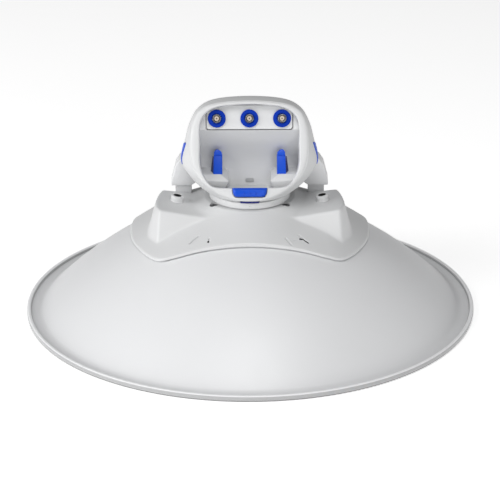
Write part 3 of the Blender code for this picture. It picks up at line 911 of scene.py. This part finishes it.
# Connector panel
# A white plate let into the top of the mouth, with a dark joint round it. It carries three
# coaxial sockets in blue seals: a plated barrel, a cream insulator in it and a brown contact,
# with painted shade darkening the inside of the barrel.
# The ports' places across and up the panel, in millimetres
PORTS = (("left", -31.9), ("centre", 0.0), ("right", 31.9))
PORT_UP = 82
SEAL_BLUE = (0.0, 0.03, 0.36)
NICKEL = (0.42, 0.41, 0.39)
# The contact's brown is its own colour; on the barrel's inside wall and floor the same dark finish is
# painted shade
DULL_BRASS_AND_PAINTED_SHADE = (0.20, 0.16, 0.12)
CREAM = (0.56, 0.48, 0.40)


def port_frame(x):
    # Radii and heights in millimetres, height measured out of the panel
    outwards = Matrix.Rotation(pi, 4, "X")
    return LEAN @ Matrix.Scale(MM, 4) @ Matrix.Translation((x, PORT_UP, PANEL_DEPTH)) @ outwards


def set_port(name, x, shape):
    bmesh.ops.transform(shape, matrix=port_frame(x), verts=shape.verts)
    return to_object(name, shape, 45)


def seal_rubber():
    material, shader, place = plain_finish("seal_rubber", SEAL_BLUE, 0.55)
    shader.inputs["Specular IOR Level"].default_value = 0.12
    mottle(shader, SEAL_BLUE, place.noise(60, 3.0), 0.9, 1.1)
    feed(shader, "Roughness", 0.5 + place.noise(200) * 0.12)
    relief(shader, place.noise(1800, 2.0), 0.015 * MM)
    return material


def plated(name, colour, roughness):
    material, shader, place = plain_finish(name, colour, roughness, 1.0)
    mottle(shader, colour, place.noise(400, 3.0), 0.85, 1.08)
    feed(shader, "Roughness", roughness - 0.06 + place.noise(900) * 0.14)
    relief(shader, place.noise(3000), 0.006 * MM)
    return material


def waxy(name, colour):
    material, shader, place = plain_finish(name, colour, 0.4)
    mottle(shader, colour, place.noise(500), 0.93, 1.05)
    feed(shader, "Roughness", 0.36 + place.noise(800) * 0.1)
    relief(shader, place.noise(2500), 0.008 * MM)
    return material


def make_panel():
    plate = panel_solid(0, PANEL_DEPTH, PANEL_DEPTH + PANEL_THICK)
    panel = to_object("port_panel", ease_edges(plate, 0.3 * MM), 50)
    holes = []
    for side, x in PORTS:
        hole = drill(4.3, -9, 9, 48)
        bmesh.ops.transform(hole, matrix=port_frame(x), verts=hole.verts)
        holes.append(hole)
    carve(panel, together(holes), crease=50)
    fit(panel, moulded("panel_plastic", shade_of(SHELL_WHITE, 1.04), 0.42), "shell", "connector_panel")


def make_port(side, x, rubber, nickel, contact_and_shade, cream):
    seal = [(4.5, 0.3), (8.8, 0.3), (8.8, 1.7), (8.3, 2.1), (5.3, 2.1), (4.9, 1.5), (4.5, 1.5)]
    barrel = [(3.2, -2.5), (3.95, -2.5), (3.95, 5.0), (3.7, 5.8), (3.2, 5.8)]
    floor = [(0, -2.4), (3.1, -2.4), (3.1, -0.5), (0.35, -0.5), (0.35, 4.4), (0, 4.4)]
    core = [(0.7, -0.4), (2.35, -0.4), (2.35, 5.3), (0.7, 5.3)]
    ring = set_port(f"port_seal_{side}", x, turned(seal, 96, 0.2))
    fit(ring, rubber, "seal", f"connector_seal_{side}")
    body = together([turned(barrel, 64, 0.12), turned(floor, 64, 0.05)])
    # Faces inside the barrel take the dark finish: the contact's own brown, and painted shade on the
    # wall and floor
    for face in body.faces:
        face.material_index = int(face.calc_center_median().xy.length < 3.25)
    socket = set_port(f"port_barrel_{side}", x, body)
    socket.data.materials.append(nickel)
    socket.data.materials.append(contact_and_shade)
    fit(socket, nickel, "connector", f"connector_{side}")
    insulator = set_port(f"port_core_{side}", x, turned(core, 48, 0.15))
    fit(insulator, cream, "insulator", f"connector_core_{side}")


make_panel()
port_finishes = (
    seal_rubber(),
    plated("nickel_plate", NICKEL, 0.3),
    plated("dull_brass_and_painted_shade", DULL_BRASS_AND_PAINTED_SHADE, 0.45),
    waxy("cream_insulator", CREAM),
)
for side, x in PORTS:
    make_port(side, x, *port_finishes)

# Clips and ledges
# A blue spring clip stands on a white ledge at each side of the mouth. Its tip is domed, and
# a darker copy of the blue, as painted shade, colours the arm beside it. A small raised tab
# sits low on the back wall between them, its white darkened as painted shade.
BLUE = (0.003, 0.066, 0.54)
# Painted shade: a dark copy of the blue for the clip's arm and the release edge, which lie in shade
SHADED_BLUE = (0.01, 0.012, 0.13)
# The clip's outlines are (x, up) in millimetres
CLIP_BODY = ((26.9, 27.4), (35.8, 27.4), (35.2, 47), (26.9, 47))
CLIP_TIP = (
    (27.2, 46.0),
    (35.0, 46.0),
    (34.9, 49.3),
    (33.7, 51.3),
    (31.6, 52.0),
    (29.4, 51.1),
    (27.3, 49.0),
)
CLIP_SLANT = 0.22
# The arm's and the ledge's corners are (x, up, depth)
CLIP_ARM = (
    (35.9, 27.4, 19),
    (35.5, 45.2, 22),
    (38.9, 27.4, 27),
    (36.6, 45.2, 27),
    (35.9, 27.4, 29),
    (35.5, 45.2, 29),
    (38.9, 27.4, 29),
    (36.6, 45.2, 29),
)
LEDGE = (
    (24.5, 13.4, 17),
    (47, 13.4, 17),
    (20.4, 20.4, 11),
    (47, 21.5, 11),
    (28.4, 27.5, 16),
    (47, 27.5, 16),
    (25.6, 34.6, 40),
    (47, 34.6, 40),
    (20.8, 30.8, 40),
    (22, 15, 40),
    (47, 15, 40),
)


def blue_finish(name, colour):
    material, shader, place = plain_finish(name, colour, 0.38)
    shader.inputs["Specular IOR Level"].default_value = 0.28
    mottle(shader, colour, place.noise(90, 3.0), 0.92, 1.08)
    feed(shader, "Roughness", 0.33 + place.noise(300) * 0.1)
    relief(shader, place.noise(1500, 2.0), 0.012 * MM)
    return material


def hull_of(points):
    # points are (x, up, depth) in millimetres
    shape = bmesh.new()
    for point in points:
        shape.verts.new(Vector(point) * MM)
    bmesh.ops.convex_hull(shape, input=shape.verts)
    bmesh.ops.dissolve_limit(shape, angle_limit=radians(3), verts=shape.verts, edges=shape.edges)
    bmesh.ops.transform(shape, matrix=LEAN, verts=shape.verts)
    return shape


def make_clip(side, turn, finish, shaded):
    body = ease_edges(placed(CLIP_BODY, 10.4, 19, LEAN, 0.4, CLIP_SLANT), 0.6 * MM)
    tip = ease_edges(placed(CLIP_TIP, 9.4, 18, LEAN, 0.4, CLIP_SLANT), 0.7 * MM)
    arm = ease_edges(hull_of(CLIP_ARM), 0.3 * MM)
    fit(to_object(f"clip_{side}", turn(together([body, tip]))), finish, "blue", f"clip_bar_{side}")
    fit(to_object(f"clip_spring_{side}", turn(arm)), shaded, "blue", f"clip_arm_{side}")


def make_ledge(side, turn, finish):
    ledge = to_object(f"ledge_{side}", turn(ease_edges(hull_of(LEDGE), 0.6 * MM, 3, 20)))
    fit(ledge, finish, "shell", f"clip_ledge_{side}")


def make_tab(finish):
    tab = ease_edges(placed(oblong(-4, 4, 19.6, 23.6), 51, 62, LEAN, 1.0, -0.7), 0.5 * MM)
    fit(to_object("raised_tab", tab), finish, "shell", "lock_tab")


blue = blue_finish("blue_plastic", BLUE)
shaded_blue = blue_finish("shaded_blue_plastic", SHADED_BLUE)
for side, turn in SIDES:
    make_clip(side, turn, blue, shaded_blue)
    make_ledge(side, turn, bpy.data.materials["hood_plastic"])
# The tab's white is darkened to 0.8 of the shell's as painted shade
make_tab(moulded("tab_plastic_painted_shade", shade_of(SHELL_WHITE, 0.8)))

# Latch, release and side buttons
# The blue latch on the chin has slanted ends and three raised dots. A blue edge in painted
# shade peeps out below the chin, and a blue button is let into each flank of the hood.
# The latch's and the button's sizes are in millimetres
LATCH = ((-17, 14.2), (-16.2, 8.4), (-14.4, 5.9), (-12, 5.3))
LATCH += tuple((-x, up) for x, up in LATCH[::-1])
LATCH_MIDDLE = 8.6
LATCH_BACK = -3.7
LATCH_EDGE = 0.3
LATCH_RISE = 2.1
# How much of its width and height the latch's front keeps
LATCH_FRONT = (0.85, 0.6)
DOTS = (-5.7, 0, 5.7)
DOT_SIZE = (0.95, 0.95, 0.7, 1)
RELEASE_SPAN = radians(13)
BUTTON_MIDDLE = Vector((48, 23.5))
BUTTON_FIT = 0.965


def make_latch(finish):
    # Drawn with its front towards +Z and turned round at the end
    shape = pushed(LATCH, LATCH_BACK, LATCH_EDGE)
    lid = max(shape.faces, key=lambda face: face.calc_center_median().z)
    pull(shape, lid, LATCH_RISE, *LATCH_FRONT, LATCH_MIDDLE)
    ease_edges(shape, 0.35, 3, 20)
    for x in DOTS:
        place = Matrix.Translation((x, LATCH_MIDDLE + 0.2, LATCH_EDGE + LATCH_RISE))
        place = place @ Matrix.Diagonal(DOT_SIZE)
        bmesh.ops.create_uvsphere(shape, u_segments=24, v_segments=12, radius=1, matrix=place)
    bmesh.ops.scale(shape, verts=shape.verts, vec=(MM, MM, -MM))
    bmesh.ops.transform(shape, matrix=LEAN, verts=shape.verts)
    fit(to_object("chin_latch", shape, 50), finish, "blue", "front_latch")


def make_release(finish):
    reach, inner = COLLAR_RADIUS + 1.4 * MM, COLLAR_RADIUS - 3.5 * MM
    angles = np.linspace(-pi / 2 - RELEASE_SPAN, -pi / 2 + RELEASE_SPAN, 25)
    points = [(reach * cos(angle), reach * sin(angle)) for angle in angles]
    points += [(inner * cos(angle), inner * sin(angle)) for angle in angles[::-1]]
    shape = ease_edges(pushed(points, COLLAR_TOP + 0.3 * MM, 127.5 * MM), 0.25 * MM)
    fit(to_object("latch_edge", shape), finish, "blue", "latch_release")


def make_button(side, turn, finish):
    dome = ringed_solid(dome_rings(BUTTON_PROUD), FACE_HALF, BODY_HALF)
    skin = to_object(f"flank_button_{side}", turn(dome))
    offsets = [Vector(corner) - BUTTON_MIDDLE for corner in BUTTON]
    block = [tuple(BUTTON_MIDDLE + offset * BUTTON_FIT) for offset in offsets]
    carve(skin, turn(placed(block, 60.3, 90, SIDEWAYS, 2.0)), operation="INTERSECT")
    fit(skin, finish, "blue", f"side_button_{side}")


make_latch(blue)
# The release edge takes the blue in painted shade
make_release(shaded_blue)
for side, turn in SIDES:
    make_button(side, turn, blue)

# Bracket
# Metal parts behind the hood: a cheek on a leg at each side and a web between them, all with
# rounded edges and the reflector's grey coat. The web is a guess.
BRACKET_EDGE = 1.2 * MM


def softened(node, width):
    # A copy of a CAD piece with its edges rounded
    shape = bmesh.new()
    shape.from_mesh(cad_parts[node].data)
    bmesh.ops.remove_doubles(shape, verts=shape.verts, dist=0.01 * MM)
    bmesh.ops.dissolve_limit(shape, angle_limit=radians(2), verts=shape.verts, edges=shape.edges)
    return ease_edges(shape, width, 4)


def make_bracket():
    coat = powder_coat("bracket_coat", shade_of(COAT_GREY, 0.97), 0.45)
    for name in ("bracket_cheek", "bracket_leg"):
        for side in ("left", "right"):
            piece = to_object(f"{name}_{side}_coated", softened(f"{name}_{side}", BRACKET_EDGE), 50)
            fit(piece, coat, "bracket", f"{name}_{side}")
    web = to_object("bracket_web_coated", softened("bracket_web", BRACKET_EDGE), 50)
    fit(web, coat, "bracket", "bracket_web")


make_bracket()

# Feed
# The feed on the hidden side is a guess: a turned tube that carries a flange at the reflector
# and a plain white cap at its end.
FEED_RADIUS = 14 * MM
FEED_END = 16 * MM
FEED_FLANGE = 34 * MM
BRUSHED_STRETCH = (60, 60, 2400)
ALUMINIUM = (0.62, 0.63, 0.64)


def brushed(name, colour):
    material, shader, place = plain_finish(name, colour, 0.32, 1.0)
    inputs = {0: place, 1: BRUSHED_STRETCH}
    stretched = place.node("ShaderNodeVectorMath", {"operation": "MULTIPLY"}, inputs)
    lines = stretched.noise(1.0, 3.0)
    mottle(shader, colour, lines, 0.93, 1.05)
    feed(shader, "Roughness", 0.26 + lines * 0.14)
    relief(shader, lines, 0.006 * MM)
    return material


def make_feed():
    metal = brushed("brushed_aluminium", ALUMINIUM)
    top = COLLAR_TOP - 4 * MM
    inner = FEED_RADIUS - 2 * MM
    tube = [(inner, FEED_END), (FEED_RADIUS, FEED_END), (FEED_RADIUS, top), (inner, top)]
    fit(to_object("turned_tube", turned(tube, 96, 0.5 * MM)), metal, "feed", "feed_tube")
    under = dish_height(HUB_HOLE) - SHEET - 2 * MM
    bore = FEED_RADIUS + 0.3 * MM
    flange = [
        (bore, under - 4 * MM),
        (FEED_FLANGE, under - 4 * MM),
        (FEED_FLANGE, dish_height(FEED_FLANGE) - SHEET - 1 * MM),
        (bore, dish_height(HUB_HOLE) - SHEET - 0.3 * MM),
    ]
    fit(to_object("turned_flange", turned(flange, 128, 0.6 * MM)), metal, "feed", "feed_flange")
    cap = in_metres([(0, 3.3), (24, 3.3), (30, 5.5), (30, 8), (20, 15.7), (0, 15.7)])
    finish = moulded("cap_plastic", SHELL_WHITE, 0.45)
    fit(to_object("feed_cover", turned(cap, 128)), finish, "shell", "feed_cap")


make_feed()

# Studio
# A plain pale floor and five soft lights: two from the camera's left, one high in front and
# two from its right, of which the far one is weak. The camera is fitted to the photograph.
FLOOR_SIZE = 30
FLOOR_GLOW = 0.475
SURROUND = 0.145
LIGHT_REACH = 3.3
LIGHT_SIZE = 1.6
LIGHT_AIM = Vector((0, 0, 0.08))
LIGHTS = (
    ("left_low", 75, 12, 42),
    ("left_high", 58, 35, 26),
    ("front_high", 0, 65, 38),
    ("front_right", -18, 13, 25),
    ("right_low", -72, 16, 5),
)
CAMERA_PLACE = Vector((0, -2.2255, 0.9761))
CAMERA_DROP = radians(22.374)
CAMERA_ROLL = radians(-0.26)
CAMERA_LENS = 172.8


def make_floor():
    shape = bmesh.new()
    bmesh.ops.create_grid(shape, x_segments=4, y_segments=4, size=FLOOR_SIZE / 2)
    bmesh.ops.translate(shape, verts=shape.verts, vec=(0, 0, -0.2 * MM))
    floor = to_object("floor", shape)
    material, shader, place = plain_finish("pale_floor", (0.9, 0.9, 0.9), 0.8)
    shader.inputs["Specular IOR Level"].default_value = 0.1
    shader.inputs["Emission Color"].default_value = (1, 1, 1, 1)
    shader.inputs["Emission Strength"].default_value = FLOOR_GLOW
    floor.data.materials.append(material)


def soft_light(name, turn, height, power):
    # turn and height are the angles to the left of the camera's side and above the floor
    turn, height = radians(turn), radians(height)
    place = LIGHT_REACH * Vector((-sin(turn) * cos(height), -cos(turn) * cos(height), sin(height)))
    light = bpy.data.lights.new(name, "AREA")
    light.shape = "DISK"
    light.size = LIGHT_SIZE
    light.energy = power
    lamp = bpy.data.objects.new(name, light)
    lamp.location = place
    lamp.rotation_euler = (LIGHT_AIM - place).to_track_quat("-Z", "Y").to_euler()
    bpy.context.scene.collection.objects.link(lamp)


def make_camera():
    camera = bpy.data.cameras.new("camera")
    camera.sensor_width = 36
    camera.lens = CAMERA_LENS
    camera.clip_end = 100
    holder = bpy.data.objects.new("camera", camera)
    forward = Vector((0, cos(CAMERA_DROP), -sin(CAMERA_DROP)))
    turn = forward.to_track_quat("-Z", "Y").to_matrix().to_4x4()
    roll = Matrix.Rotation(CAMERA_ROLL, 4, "Z")
    holder.matrix_world = Matrix.Translation(CAMERA_PLACE) @ turn @ roll
    bpy.context.scene.collection.objects.link(holder)
    bpy.context.scene.camera = holder


make_floor()
for light in LIGHTS:
    soft_light(*light)
make_camera()
world = bpy.data.worlds.new("surround")
world.use_nodes = True
world.node_tree.nodes["Background"].inputs["Color"].default_value = (1, 1, 1, 1)
world.node_tree.nodes["Background"].inputs["Strength"].default_value = SURROUND
bpy.context.scene.world = world
bpy.context.scene.view_settings.view_transform = "Standard"
